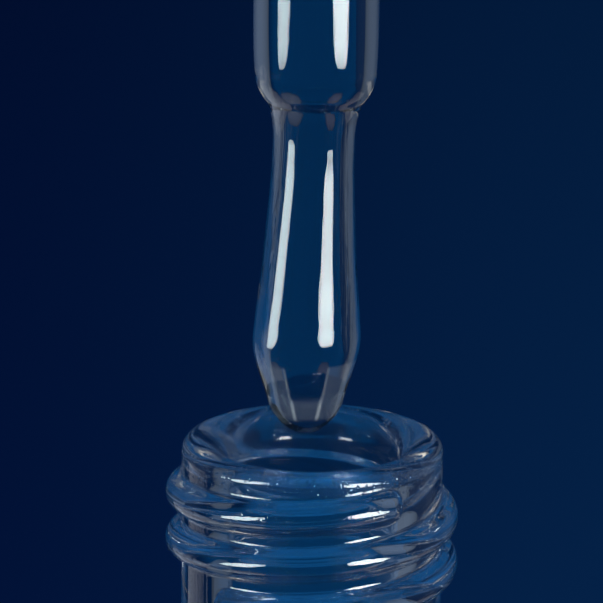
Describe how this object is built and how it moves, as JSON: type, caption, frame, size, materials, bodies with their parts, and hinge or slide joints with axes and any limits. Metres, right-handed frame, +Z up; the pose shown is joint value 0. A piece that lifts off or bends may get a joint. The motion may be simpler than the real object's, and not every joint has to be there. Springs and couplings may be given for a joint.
{
  "type": "nail polish bottle",
  "caption": "Round clear glass bottle with a screw neck; its cap is unscrewed and lifted, so a brush loaded with clear gel hangs over the open mouth.",
  "frame": {"origin": "centre of the ring that the bottle stands on", "axes": "+Z up along the axis of the bottle and the brush, -Y towards the front"},
  "size_m": [0.03, 0.03, 0.1333],
  "materials": {
    "clear_glass": "polished clear flint glass",
    "clear_polish": "thick clear wet gel",
    "clear_plastic": "clear moulded plastic",
    "clear_nylon": "clear nylon filaments",
    "soft_white_plastic": "soft waxy white plastic",
    "white_plastic": "moulded white plastic",
    "black_plastic": "glossy black moulded plastic",
    "disc_metal": "circular-brushed metal"
  },
  "bodies": {
    "bottle": {"glass_bottle": "clear_glass", "nail_polish": "clear_polish"},
    "seal": {"seal_ring": "soft_white_plastic"},
    "brush": {"brush_stem": "clear_plastic", "bristle_tuft": "clear_nylon", "gel_coat": "clear_polish"},
    "cap": {"inner_cap": "white_plastic", "overcap": "black_plastic", "top_disc": "disc_metal"}
  },
  "joints": [
    {"name": "brush_lift", "type": "slide", "parent": "bottle", "child": "seal", "axis": [0, 0, 1], "range_m": [-0.0467, 0.04], "deforming": ["nail_polish"]},
    {"name": "stem_rise", "type": "slide", "parent": "seal", "child": "brush", "axis": [0, 0, 1], "range_m": [-0.0037, 0]},
    {"name": "cap_unscrew", "type": "hinge", "parent": "brush", "child": "cap", "pos_m": [0, 0, 0.1105], "axis": [0, 0, 1], "range_deg": [-630, 0]}
  ],
  "couplings": [
    {"joint": "stem_rise", "follows": "cap_unscrew", "m_per_rad": 0.00033688}
  ]
}
